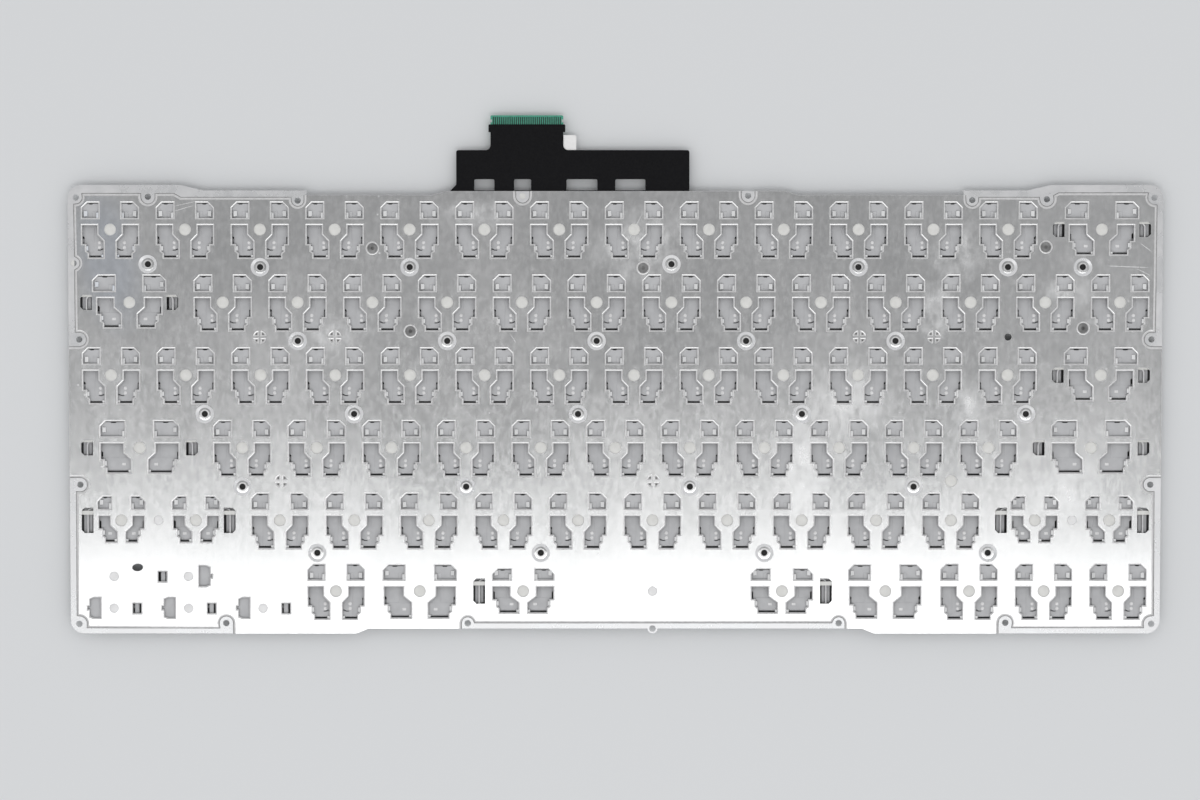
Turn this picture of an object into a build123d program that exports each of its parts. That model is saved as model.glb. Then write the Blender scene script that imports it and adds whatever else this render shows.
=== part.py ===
"""Laptop replacement keyboard, lying on its keys with the metal back up, as a service part is photographed.

Millimetres. +X runs along the key rows, +Y towards the connector tail, +Z from key tops to metal back.
Seen from the back the rows are mirrored: the delete, return and right shift keys are on the -X side.
The origin is under the middle of the whole outline, tail included, on the plane of the key tops.
"""

import os

from build123d import *

# Key grid
key_pitch = 19.0  # one key unit along a row
row_pitch = 18.5
last_row_pitch = 18.1  # from the shift row to the space bar row
row_units = 14.5  # length of every row in key units
key_gap = 3.0  # between neighbouring key caps

# Key caps: thin moulded shells, open towards the back
cap_height = 1.3
cap_top = 0.55
cap_skirt = 0.6
half_key_gap = 0.8  # between the up and down arrow keys
key_travel = 1.0
press_clearance = 0.3  # left above a pressed key's skirt

# Switch membrane: a ladder of strips, one behind the plate's bar over the lower cut-outs of each row
membrane_thickness = 0.25
strip_high = 2.45  # edges of a strip from the key middles
strip_low = 1.4
rail_width = 1.0  # at both ends of the strips
rail_inset = 0.6  # inside the plate edge
tongue_width = 3.6  # strips that run between the keys to the tail
header_low = 7.3  # strip that the tail is glued to, above the first row's middle
header_high = 8.4
header_side = 3.0  # header beyond the outer tongues

# Scissor links
link_thickness = 0.6
link_end_gap = 0.7  # between a link's end and the end of its cut-out
link_side_gap = 0.6  # between a link and the outer edge of its cut-out
link_inner_gap = 0.35  # between a link and the inner edge of the upper cut-out, towards the middle
seat_clearance = 0.03  # between parts that rest on each other

# Base plate
plate_side = 1.25  # beyond the key cells at each end of the rows
plate_thickness = 0.4
plate_corner = 3.4
ear_rise = 11.3  # top edge above the first row's middle: at the corner ears,
rim_rise = 9.9  # along the lowered rim,
edge_rise = 8.75  # beside the tail
tail_rise = 9.75  # and behind the tail
edge_drop = 10.9  # bottom edge below the last row's middle, at the corners
space_drop = 9.65  # and behind the space bar
ear_length = 34.5  # from the plate's end to the foot of the ear's slope
ear_slope = 6.0
slope_run = 3.2  # length of the other slopes between two levels of the edge
tail_half = 43.0  # half the straight edge behind the tail
space_half = 62.9
bump_radius = 1.35  # screw bump in the bottom edge

# Cut-outs of the scissor seats: outer and inner edge, foot, top and bottom, from the scissor's middle
standard_cuts = (7.35, 2.65, 1.4, 7.05, -7.4)
option_cuts = (9.5, 3.6, 1.9, 6.9, -7.1)  # keys of 1.25 units beside the space bar
tab_cuts = (9.4, 3.4, 1.9, 7.05, -6.6)  # keys of 1.5 units
return_cuts = (10.15, 3.55, 2.0, 7.05, -6.6)  # keys of 1.75 units
shift_cuts = (6.2, 2.3, 0.9, 6.3, -5.8)
space_cuts = (8.0, 2.8, 0.9, 5.9, -5.8)
upper_low = 2.65  # bottom of every upper cut-out, from the scissor's middle
lower_high = 1.25  # top of every lower cut-out
step_y = -3.96  # where a lower cut-out's outer edge starts to draw in
knee_y = -2.8  # where its inner edge reaches the foot
draw_in = 1.6  # how far the outer edge draws in
shift_scissors = 9.5  # from a shift key's middle to each of its two scissors
space_scissors = 33.0

# Slots for the stabiliser bars and for the arrow keys
slot_width = 2.9
slot_height = 3.8
long_slot_height = 6.4
slot_inset = 1.75  # from the end of a wide cap to the middle of its slot
arrow_slot_x = 4.45  # long slot beside the middle of an arrow key
arrow_slot_width = 3.3
arrow_slot_height = 5.2
arrow_hook_x = 6.25  # short slot on the other side
arrow_hook_width = 2.7
arrow_hook_height = 3.0
arrow_link_inner = 3.5
arrow_link_outer = 6.8

# Screw holes
screw_radius = 0.9
screw_sides = 6  # the repeated boss holes are drawn with few faces
corner_hole_inset = 2.2  # from the plate's end
corner_hole_rise = 8.1  # above the first row's middle
corner_hole_drop = 8.4  # below the last row's middle
side_hole_inset = 2.7
boss_shift = 0.5  # of the boss holes from the middle between two rows, downwards
last_boss_shift = -0.75
side_hole_shift = 0.15
rim_hole_rise = 7.9
bottom_hole_drop = 7.9
bump_hole_drop = 9.5

# Stabiliser bars of the wide keys
bar_width = 0.6
bar_thickness = 0.55
bar_gap = 0.15  # between a bar and the skirt of its cap

# Connector tail: a printed film with a stiff contact end
tail_thickness = 0.2
tail_left = -40.4
tail_right = 18.8
tail_foot = 1.5  # flare at the plate
tail_body = 10.4  # from the plate's edge to the shoulder
neck_left = -31.7
neck_right = -13.2
neck_length = 4.5
head_length = 2.0
head_side = 0.5  # head beyond the neck
end_length = 2.3  # contact end beyond the head
end_overlap = 2.6
end_thickness = 0.3
tail_windows = [(-35.8, -30.7), (-25.7, -21.4), (-12.4, -4.6), (0.0, 7.6)]  # along X
window_height = 2.8
window_edge = 0.2  # from the plate's edge to the windows
tab_width = 3.3
tab_length = 3.8
tab_overlap = 2.0
tab_thickness = 0.15

# Levels, from the key tops up
membrane_z = cap_height + key_travel + press_clearance
plate_z = membrane_z + membrane_thickness

# Rows, from the middle of the whole outline
rows_depth = 4 * row_pitch + last_row_pitch
tail_reach = tail_rise + tail_body + neck_length + head_length + end_length
top = (rows_depth + edge_drop - tail_reach) / 2
row_y = [top - row_pitch * n for n in range(5)]
row_y.append(row_y[4] - last_row_pitch)
bottom = row_y[5]
half_width = row_units * key_pitch / 2 + plate_side
cap_depth = row_pitch - key_gap
half_depth = (cap_depth - half_key_gap) / 2
half_shift = (half_depth + half_key_gap) / 2

# Widths of the keys in each row, in key units from the -X side
function_row = [1.0] * 13 + [1.5]
number_row = [1.5] + [1.0] * 13
tab_row = [1.0] * 13 + [1.5]
home_row = [1.75] + [1.0] * 11 + [1.75]
shift_row = [2.25] + [1.0] * 10 + [2.25]
space_row = [1.0, 1.0, 1.0, 1.0, 1.25, 5.0, 1.25, 1.0, 1.0, 1.0]
rows = [function_row, number_row, tab_row, home_row, shift_row, space_row]

tab_names = "backslash right_bracket left_bracket p o i u y t r e w q tab"
home_names = "return apostrophe semicolon l k j h g f d s a caps_lock"
shift_names = "right_shift slash period comma m n b v c x z left_shift"
space_names = "right_arrow down_arrow left_arrow right_alt right_meta space left_meta left_alt control fn"


def unit_x(unit):
    """Place along a row of a distance in key units from its -X end."""
    return (unit - row_units / 2) * key_pitch


def row_keys(row):
    """Every key cell of a row as (x, y, width in key units)."""
    cells = []
    start = 0.0
    for units in rows[row]:
        cells.append((unit_x(start + units / 2), row_y[row], units))
        start += units
    return cells


def keys_of(units, skip=0):
    """Middles of all keys of one width, without the first cells of the last row that hold the arrow keys."""
    cells = [cell for row in range(6) for cell in row_keys(row)[skip if row == 5 else 0 :]]
    return [(x, y) for x, y, width in cells if width == units]


def both_sides(places, reach):
    """Two places for each given one, at the same distance to the left and right."""
    return [(x + side * reach, y) for x, y in places for side in (-1, 1)]


def cap_width(units):
    """Width of the cap of a key that takes some key units."""
    return units * key_pitch - key_gap


def key_cap(x, y, width, depth):
    """One moulded key cap: a thin top with a skirt, open at the back."""
    with BuildPart() as cap:
        with BuildSketch():
            with Locations((x, y)):
                Rectangle(width, depth)
        extrude(amount=cap_height)
        with BuildSketch(Plane.XY.offset(cap_top)):
            with Locations((x, y)):
                Rectangle(width - 2 * cap_skirt, depth - 2 * cap_skirt)
        extrude(amount=cap_height, mode=Mode.SUBTRACT)
    return cap.part


# Scissor seats: their places and cut-outs
space_key = keys_of(5.0)
shift_keys = keys_of(2.25)
seats = [
    (keys_of(1.0, skip=3), standard_cuts),
    (keys_of(1.25), option_cuts),
    (keys_of(1.5), tab_cuts),
    (keys_of(1.75), return_cuts),
    (both_sides(shift_keys, shift_scissors), shift_cuts),
    (both_sides(space_key, space_scissors), space_cuts),
]

# Wide keys with a stabiliser bar: their places, width and slot height
stabilised = [
    (keys_of(1.5), cap_width(1.5), slot_height),
    (keys_of(1.75), cap_width(1.75), slot_height),
    (shift_keys, cap_width(2.25), long_slot_height),
    (space_key, cap_width(5.0), long_slot_height),
]

# Half-height arrow keys
arrow_places = [(unit_x(unit), bottom - half_shift) for unit in (0.5, 1.5, 2.5)]
up_arrow_place = (unit_x(1.5), bottom + half_shift)
arrow_slots = [(x - arrow_slot_x, y) for x, y in arrow_places]
arrow_slots.append((up_arrow_place[0] + arrow_slot_x, up_arrow_place[1]))
arrow_hooks = [(x + arrow_hook_x, y) for x, y in arrow_places]
arrow_hooks.append((up_arrow_place[0] - arrow_hook_x, up_arrow_place[1]))
arrow_places.append(up_arrow_place)

# Screw holes: bosses in the gaps between the rows, in key units from the -X end, then the edge
boss_units = [(1, 2.5, 4.5, 8, 10.5, 12.5, 13.5), (3, 5, 7, 9, 11), (1.75, 3.75, 6.75, 9.75, 12.75)]
boss_units.append((2.25, 5.25, 8.25, 11.25))
boss_places = [
    (unit_x(unit), row_y[row] - row_pitch / 2 - boss_shift)
    for row, units in enumerate(boss_units)
    for unit in units
]
last_boss_y = row_y[4] - last_row_pitch / 2 - last_boss_shift
boss_places += [(unit_x(unit), last_boss_y) for unit in (3.25, 6.25, 9.25, 12.25)]
edge_places = [(unit_x(unit), top + rim_hole_rise) for unit in (1, 3, 6, 9, 12, 13)]
edge_places += [(unit_x(unit), bottom - bottom_hole_drop) for unit in (2.05, 5.25, 10.25, 12.5)]
bump_place = (unit_x(7.75), bottom - bump_hole_drop)
corner_x = half_width - corner_hole_inset
corner_places = [(side * corner_x, top + corner_hole_rise) for side in (-1, 1)]
corner_places += [(side * corner_x, bottom - corner_hole_drop) for side in (-1, 1)]
side_x = half_width - side_hole_inset
side_places = [(side * side_x, row_y[n] - row_pitch / 2 - side_hole_shift) for side in (-1, 1) for n in (1, 3)]

os.makedirs("parts", exist_ok=True)

# Base plate: one stamped aluminium sheet with four cut-outs for every scissor
rim_left = unit_x(3.1)
rim_right = unit_x(11.9)
ear_x = half_width - ear_length
plate_outline = [
    (-half_width, top + ear_rise),
    (-ear_x - ear_slope, top + ear_rise),
    (-ear_x, top + rim_rise),
    (rim_left, top + rim_rise),
    (rim_left, top + edge_rise),
    (-tail_half - slope_run, top + edge_rise),
    (-tail_half, top + tail_rise),
    (tail_half, top + tail_rise),
    (tail_half + slope_run, top + edge_rise),
    (rim_right, top + edge_rise),
    (rim_right, top + rim_rise),
    (ear_x, top + rim_rise),
    (ear_x + ear_slope, top + ear_rise),
    (half_width, top + ear_rise),
    (half_width, bottom - edge_drop),
    (space_half + slope_run, bottom - edge_drop),
    (space_half, bottom - space_drop),
    (-space_half, bottom - space_drop),
    (-space_half - slope_run, bottom - edge_drop),
    (-half_width, bottom - edge_drop),
]


def seat_cuts(outer, inner, foot, high, low):
    """The four cut-outs of one scissor seat, about the scissor's middle."""
    upper = [
        (inner, upper_low),
        (outer, upper_low),
        (outer, high),
        (inner, high),
    ]
    lower = [
        (inner, lower_high),
        (foot, knee_y),
        (foot, low),
        (outer - draw_in, low),
        (outer, step_y),
        (outer, lower_high),
    ]
    with BuildSketch() as cuts:
        Polygon(*upper, align=None)
        Polygon(*lower, align=None)
        mirror(about=Plane.YZ)
    return cuts.sketch


with BuildPart() as base_plate:
    with BuildSketch(Plane.XY.offset(plate_z)) as sheet:
        with BuildLine():
            Polyline(*plate_outline, close=True)
        make_face()
        fillet(sheet.vertices().group_by(Axis.X)[0] + sheet.vertices().group_by(Axis.X)[-1], plate_corner)
        with Locations(bump_place):
            Circle(bump_radius)
        for places, cuts in seats:
            with Locations(*places):
                add(seat_cuts(*cuts), mode=Mode.SUBTRACT)
        for places, width, height in stabilised:
            with Locations(*both_sides(places, width / 2 - slot_inset)):
                Rectangle(slot_width, height, mode=Mode.SUBTRACT)
        with Locations(*arrow_slots):
            Rectangle(arrow_slot_width, arrow_slot_height, mode=Mode.SUBTRACT)
        with Locations(*arrow_hooks):
            Rectangle(arrow_hook_width, arrow_hook_height, mode=Mode.SUBTRACT)
        with Locations(*boss_places, *edge_places, bump_place):
            RegularPolygon(screw_radius, screw_sides, mode=Mode.SUBTRACT)
        with Locations(*corner_places, *side_places):
            Circle(screw_radius, mode=Mode.SUBTRACT)
    extrude(amount=plate_thickness)
base_plate.part.label = "base_plate"
export_step(base_plate.part, "parts/base_plate.step")

# Switch membrane under the plate: rails, strips, and tongues between the first row's keys
rail_x = half_width - rail_inset
tongue_units = (6, 7, 8)
header_left = unit_x(tongue_units[0]) - header_side
header_right = unit_x(tongue_units[-1]) + header_side
with BuildPart() as switch_membrane:
    with BuildSketch(Plane.XY.offset(membrane_z)):
        with BuildLine():
            Polyline(
                (-rail_x, bottom + strip_low),
                (rail_x, bottom + strip_low),
                (rail_x, top + strip_high),
                (-rail_x, top + strip_high),
                close=True,
            )
        make_face()
        for upper_row, lower_row in zip(row_y, row_y[1:]):
            window_top = upper_row + strip_low
            window_bottom = lower_row + strip_high
            with Locations((0, (window_top + window_bottom) / 2)):
                Rectangle(2 * (rail_x - rail_width), window_top - window_bottom, mode=Mode.SUBTRACT)
        with Locations(*[(unit_x(unit), top + (strip_high + header_high) / 2) for unit in tongue_units]):
            Rectangle(tongue_width, header_high - strip_high)
        with Locations(((header_left + header_right) / 2, top + (header_low + header_high) / 2)):
            Rectangle(header_right - header_left, header_high - header_low)
    extrude(amount=membrane_thickness)
switch_membrane.part.label = "switch_membrane"
export_step(switch_membrane.part, "parts/switch_membrane.step")

# Scissor links: in each seat one link leans each way, from the inside of the cap to the plate.
# The short links of the arrow keys stop at the membrane's strip.
link_seats = [(arrow_places, arrow_link_outer, arrow_link_inner, arrow_slot_height / 2, membrane_z)]
for places, (outer, inner, foot, high, low) in seats:
    link_seats.append((places, outer, inner, min(high, -low), plate_z))


def link_pair(outer, inner, reach, level):
    """The two links of one scissor, side by side and leaning opposite ways up to a level."""
    start = inner - link_inner_gap
    width = outer - link_side_gap - start
    end = reach - link_end_gap
    link_low = cap_top + seat_clearance
    link_high = level - seat_clearance
    with BuildPart() as pair:
        for side in (-1, 1):
            with BuildSketch(Plane.YZ.offset(side * (start + width / 2))):
                Polygon(
                    (-side * end, link_low),
                    (-side * end, link_low + link_thickness),
                    (side * end, link_high),
                    (side * end, link_high - link_thickness),
                    align=None,
                )
            extrude(amount=width / 2, both=True)
    return pair.part


with BuildPart() as scissor_links:
    for places, *sizes in link_seats:
        with Locations(*places):
            add(link_pair(*sizes))
scissor_links.part.label = "scissor_links"
export_step(scissor_links.part, "parts/scissor_links.step")

# Stabiliser bars: flat U-shaped wires under the wide keys, with their feet at the plate's slots
bar_z = membrane_z - seat_clearance - bar_thickness
bar_y = -cap_depth / 2 + cap_skirt + bar_gap
with BuildPart() as stabiliser_bars:
    for places, width, height in stabilised:
        outer = width / 2 - slot_inset + bar_width / 2
        with BuildSketch(Plane.XY.offset(bar_z)):
            with Locations(*places):
                Polygon(
                    (-outer, bar_y),
                    (outer, bar_y),
                    (outer, height / 2),
                    (outer - bar_width, height / 2),
                    (outer - bar_width, bar_y + bar_width),
                    (bar_width - outer, bar_y + bar_width),
                    (bar_width - outer, height / 2),
                    (-outer, height / 2),
                    align=None,
                )
        extrude(amount=bar_thickness)
stabiliser_bars.part.label = "stabiliser_bars"
export_step(stabiliser_bars.part, "parts/stabiliser_bars.step")

# Connector tail: black film glued under the membrane's header
tail_z = membrane_z - tail_thickness
edge_y = top + tail_rise
shoulder_y = edge_y + tail_body
head_y = shoulder_y + neck_length
tip_y = head_y + head_length
with BuildPart() as connector_tail:
    with BuildSketch(Plane.XY.offset(tail_z)):
        with BuildLine():
            Polyline(
                (tail_left - tail_foot, top + header_low),
                (tail_right, top + header_low),
                (tail_right, shoulder_y),
                (neck_right, shoulder_y),
                (neck_right, head_y),
                (neck_right + head_side, head_y),
                (neck_right + head_side, tip_y),
                (neck_left - head_side, tip_y),
                (neck_left - head_side, head_y),
                (neck_left, head_y),
                (neck_left, shoulder_y),
                (tail_left, shoulder_y),
                (tail_left, edge_y + tail_foot),
                (tail_left - tail_foot, edge_y),
                close=True,
            )
        make_face()
        for left, right in tail_windows:
            with Locations(((left + right) / 2, edge_y + window_edge + window_height / 2)):
                Rectangle(right - left, window_height, mode=Mode.SUBTRACT)
    extrude(amount=tail_thickness)
connector_tail.part.label = "connector_tail"
export_step(connector_tail.part, "parts/connector_tail.step")

# Contact end: a stiff green strip under the tail's head
with BuildPart() as contact_end:
    with BuildSketch(Plane.XY.offset(tail_z - end_thickness)):
        with Locations(((neck_left + neck_right) / 2, tip_y + (end_length - end_overlap) / 2)):
            Rectangle(neck_right - neck_left, end_length + end_overlap)
    extrude(amount=end_thickness)
contact_end.part.label = "contact_end"
export_step(contact_end.part, "parts/contact_end.step")

# Pull tab: a white film tab stuck under the tail beside the neck
with BuildPart() as pull_tab:
    with BuildSketch(Plane.XY.offset(tail_z - tab_thickness)):
        with Locations((neck_right + tab_width / 2, shoulder_y + (tab_length - tab_overlap) / 2)):
            Rectangle(tab_width, tab_length + tab_overlap)
    extrude(amount=tab_thickness)
pull_tab.part.label = "pull_tab"
export_step(pull_tab.part, "parts/pull_tab.step")

# Key caps of the two upper rows, each row in one node
with BuildPart() as function_row_keys:
    for x, y, units in row_keys(0):
        add(key_cap(x, y, cap_width(units), cap_depth))
function_row_keys.part.label = "function_row_keys"
export_step(function_row_keys.part, "parts/function_row_keys.step")

with BuildPart() as number_row_keys:
    for x, y, units in row_keys(1):
        add(key_cap(x, y, cap_width(units), cap_depth))
number_row_keys.part.label = "number_row_keys"
export_step(number_row_keys.part, "parts/number_row_keys.step")

# Key caps that travel, one node each
arrow_names = ("right_arrow", "down_arrow", "left_arrow")
for row, names in ((2, tab_names), (3, home_names), (4, shift_names), (5, space_names)):
    for name, (x, y, units) in zip(names.split(), row_keys(row)):
        if name in arrow_names:
            cap = key_cap(x, y - half_shift, cap_width(units), half_depth)
        else:
            cap = key_cap(x, y, cap_width(units), cap_depth)
        cap.label = name + "_key"
        export_step(cap, f"parts/{name}_key.step")
up_arrow_key = key_cap(*up_arrow_place, cap_width(1.0), half_depth)
up_arrow_key.label = "up_arrow_key"
export_step(up_arrow_key, "parts/up_arrow_key.step")
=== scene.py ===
from math import cos, radians, sin

import bpy
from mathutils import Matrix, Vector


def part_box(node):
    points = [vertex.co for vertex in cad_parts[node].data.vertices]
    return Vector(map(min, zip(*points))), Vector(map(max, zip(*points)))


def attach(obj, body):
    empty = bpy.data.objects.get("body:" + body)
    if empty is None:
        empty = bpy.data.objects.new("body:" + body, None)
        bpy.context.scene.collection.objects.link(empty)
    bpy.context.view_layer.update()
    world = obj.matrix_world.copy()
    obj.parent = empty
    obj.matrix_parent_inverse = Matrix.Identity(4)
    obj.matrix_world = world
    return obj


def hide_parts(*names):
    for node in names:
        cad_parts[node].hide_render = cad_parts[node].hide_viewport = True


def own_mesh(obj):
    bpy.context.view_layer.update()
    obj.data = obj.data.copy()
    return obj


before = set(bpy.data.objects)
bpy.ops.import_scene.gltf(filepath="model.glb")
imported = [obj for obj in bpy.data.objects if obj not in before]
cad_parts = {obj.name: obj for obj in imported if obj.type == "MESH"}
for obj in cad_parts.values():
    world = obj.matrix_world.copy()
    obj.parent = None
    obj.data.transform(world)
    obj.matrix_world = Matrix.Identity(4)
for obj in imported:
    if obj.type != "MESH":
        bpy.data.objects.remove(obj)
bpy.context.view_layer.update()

# Base plate: one stamped sheet of aluminium with four cut-outs behind every scissor. The punch rolls
# the edges over, and the border is pressed down where screws hold the plate to the laptop's top case.
key_pitch = 19.0
row_start = -137.75
row_y = (37.025, 18.525, 0.025, -18.475, -36.975, -55.075)
row_units = (
    (1,) * 13 + (1.5,),
    (1.5,) + (1,) * 13,
    (1,) * 13 + (1.5,),
    (1.75,) + (1,) * 11 + (1.75,),
    (2.25,) + (1,) * 10 + (2.25,),
    (1, 1, 1, 1, 1.25, 5, 1.25, 1, 1, 1),
)
row_names = (
    "",
    "",
    "backslash right_bracket left_bracket p o i u y t r e w q tab",
    "return apostrophe semicolon l k j h g f d s a caps_lock",
    "right_shift slash period comma m n b v c x z left_shift",
    "right_arrow down_arrow left_arrow right_alt right_meta space left_meta left_alt control fn",
)
keys = []
for y, units, names in zip(row_y, row_units, row_names):
    edge = row_start
    for place, width in enumerate(units):
        keys.append((names.split()[place] if names else "", edge + width * key_pitch / 2, y, width))
        edge += width * key_pitch
arrow_keys = [(name, x, y - 4.075) for name, x, y, width in keys if "arrow" in name]
arrow_keys.append(("up_arrow", arrow_keys[1][1], row_y[5] + 4.075))
keys = [key for key in keys if "arrow" not in key[0]]

# Cut-outs by key width: outer and inner edge, foot, top, bottom and the lower pair's outer edge
seat_sizes = {
    1: (7.35, 2.65, 1.4, 7.05, -7.4, 7.35),
    1.25: (9.5, 3.6, 1.9, 6.9, -7.1, 9.3),
    1.5: (9.4, 3.4, 1.9, 7.05, -6.6, 8.4),
    1.75: (10.15, 3.55, 2.0, 7.05, -6.6, 10.15),
    2.25: (6.2, 2.3, 0.9, 6.3, -5.8, 6.0),
    5: (8.0, 2.8, 0.9, 5.9, -5.8, 8.0),
}
seat_spread = {2.25: (-9.5, 9.5), 5: (-33.0, 33.0)}
seats = [
    (name, x + shift, y, width)
    for name, x, y, width in keys
    for shift in seat_spread.get(width, (0.0,))
]
bar_reach = {1.5: 11.0, 1.75: 13.375, 2.25: 18.125, 5: 44.25}


def unit_x(unit):
    return row_start + unit * key_pitch


def select_only(*pieces):
    bpy.ops.object.select_all(action="DESELECT")
    for piece in pieces:
        piece.select_set(True)
    bpy.context.view_layer.objects.active = pieces[0]


def bay(x, y, radius, first, last):
    """Points on an arc round a screw hole, between two angles in degrees."""
    steps = max(2, round(abs(last - first) / 15))
    angles = [radians(first + (last - first) * step / steps) for step in range(steps + 1)]
    return [(x + radius * cos(angle), y + radius * sin(angle)) for angle in angles]


def round_hole(x, y, radius):
    return bay(x, y, radius, 0, 345)


def line_curve(name, loops, closed=True):
    """A flat curve through the given points, drawn in millimetres."""
    curve = bpy.data.curves.new(name, "CURVE")
    curve.dimensions = "2D"
    curve.fill_mode = "BOTH" if closed else "NONE"
    for loop in loops:
        spline = curve.splines.new("POLY")
        spline.points.add(len(loop) - 1)
        for point, (x, y) in zip(spline.points, loop):
            point.co = (x, y, 0, 1)
        spline.use_cyclic_u = closed
    piece = bpy.data.objects.new(name, curve)
    bpy.context.collection.objects.link(piece)
    return piece


def merge_mesh(piece):
    """Makes a curve a mesh, with its seams closed and its faces outwards."""
    select_only(piece)
    bpy.ops.object.convert(target="MESH")
    bpy.ops.object.mode_set(mode="EDIT")
    bpy.ops.mesh.select_all(action="SELECT")
    bpy.ops.mesh.remove_doubles(threshold=0.0005)
    bpy.ops.mesh.normals_make_consistent(inside=False)
    bpy.ops.object.mode_set(mode="OBJECT")
    bpy.ops.object.shade_flat()


def flat_piece(name, loops, low, high, rolled):
    """A sheet cut to closed loops between two levels, with its edges rolled over."""
    piece = line_curve(name, loops)
    piece.data.extrude = (high - low) / 2 - rolled
    piece.data.bevel_depth = rolled
    piece.data.bevel_resolution = 1
    piece.data.offset = -rolled - 0.01
    piece.location.z = (low + high) / 2
    merge_mesh(piece)
    bpy.ops.object.transform_apply(location=True, rotation=True, scale=True)
    return piece


def one_piece(name, *pieces):
    """Several meshes as one piece of the object."""
    select_only(*pieces)
    if len(pieces) > 1:
        bpy.ops.object.join()
    pieces[0].name = name
    pieces[0].data.name = name
    return pieces[0]


def to_metres(piece):
    select_only(piece)
    piece.scale = (0.001, 0.001, 0.001)
    bpy.ops.object.transform_apply(location=True, rotation=True, scale=True)


def both_halves(x, y, points):
    """A loop given for the right half of a scissor, and its twin on the left."""
    return [[(x + dx, y + dy) for dx, dy in points], [(x - dx, y + dy) for dx, dy in reversed(points)]]


plate_low, plate_high = (corner[2] * 1000 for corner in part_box("base_plate"))
plate_loops = []
for name, x, y, width in seats:
    outer, inner, foot, high, low, lower_outer = seat_sizes[width]
    upper = [(inner, 2.65), (outer, 2.65), (outer, high - 1.45), (outer - 1.45, high), (inner, high)]
    lower = [
        (inner + 0.35, 1.37),
        (lower_outer, 1.37),
        (lower_outer, low + 3.44),
        (lower_outer - 1.0, low + 3.44),
        (lower_outer - 1.0, low + 1.8),
        (lower_outer - 1.7, low + 1.3),
        (lower_outer - 1.7, low),
        (foot, low),
        (foot, -2.82),
        (inner + 0.35, -1.17),
    ]
    plate_loops += both_halves(x, y, upper) + both_halves(x, y, lower)
dot_radius, small_dot_radius = 1.5, 1.17
dots = [(x, y) for name, x, y, width in seats] + [(85.5, -26.95)]
small_dots = [(x + 0.4, y - 0.3) for name, x, y in arrow_keys] + [(-127.8, -51.3)]
small_dots += [(x, y) for name, x, y, width in keys if width in seat_spread]
plate_loops += [round_hole(x, y, dot_radius) for x, y in dots]
plate_loops += [round_hole(x, y, small_dot_radius) for x, y in small_dots]
bar_slots = []
for name, x, y, width in keys:
    if width in bar_reach:
        reach, tall = bar_reach[width], 3.2 if width > 2 else 1.9
        slot = [(reach - 1.5, -tall), (reach + 0.7, -tall), (reach + 1.45, 0.75 - tall)]
        slot += [(reach + 1.45, tall - 0.75), (reach + 0.7, tall), (reach - 1.5, tall)]
        bar_slots += both_halves(x, y, slot)
for name, x, y in arrow_keys:
    side = -1 if name == "up_arrow" else 1
    long_slot = [(-2.8, -3.1), (-2.8, 2.7), (-4.9, 2.7), (-6.1, 2.2), (-6.1, 0.5), (-6.7, 0.5)]
    long_slot += [(-6.7, -0.9), (-6.1, -0.9), (-6.1, -2.6), (-4.9, -3.1)]
    short_slot = [(4.9, -1.9), (7.6, -1.9), (7.6, 1.2), (4.9, 1.2)]
    plate_loops += [[(x + side * dx, y + dy) for dx, dy in slot] for slot in (long_slot, short_slot)]
rolled_loops = [loop for loop in plate_loops if len(loop) < 20]
plate_loops += bar_slots

# Pressed bosses in the gaps between the rows, pin holes, and round openings with a cross in them
boss_units = [(1, 2.5, 4.5, 8, 10.5, 12.5, 13.5), (3, 5, 7, 9, 11), (1.75, 3.75, 6.75, 9.75, 12.75)]
boss_units += [(2.25, 5.25, 8.25, 11.25), (3.25, 6.25, 9.25, 12.25)]
boss_y = (27.5, 8.75, -9.85, -28.4, -45.3)
bosses = [(unit_x(unit), y) for units, y in zip(boss_units, boss_y) for unit in units]
bosses[0] = (bosses[0][0], 28.25)
bosses[3] = (bosses[3][0], 28.25)
pin_bosses = [(-61.7, 32.3), (7.06, 27.3), (109.3, 32.6), (-52.1, 11.25), (118.9, 12.0)]
boss_radius, pin_radius = 2.3, 1.65
plate_loops += [round_hole(x, y, boss_radius) for x, y in bosses]
plate_loops += [round_hole(x, y, pin_radius) for x, y in pin_bosses]
cross_holes = [(-90.4, 9.7), (-71.3, 9.7), (62.0, 9.75), (81.0, 9.75), (-85.06, -26.95), (9.64, -26.95)]
for x, y in cross_holes:
    for turn in (0, 90, 180, 270):
        quarter = bay(x, y, pin_radius, turn + 12, turn + 78) + bay(x, y, 0.4, turn + 45, turn + 45)[:1]
        plate_loops.append(quarter)
        rolled_loops.append(quarter)
plate_loops += [round_hole(99.8, 9.75, 0.9)]
tilted_hole = [(cos(radians(turn)), sin(radians(turn))) for turn in range(0, 360, 20)]
plate_loops.append([(-121.8 + 1.35 * u - 0.2 * v, -49.0 + 0.2 * u + 0.93 * v) for u, v in tilted_hole])

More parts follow.
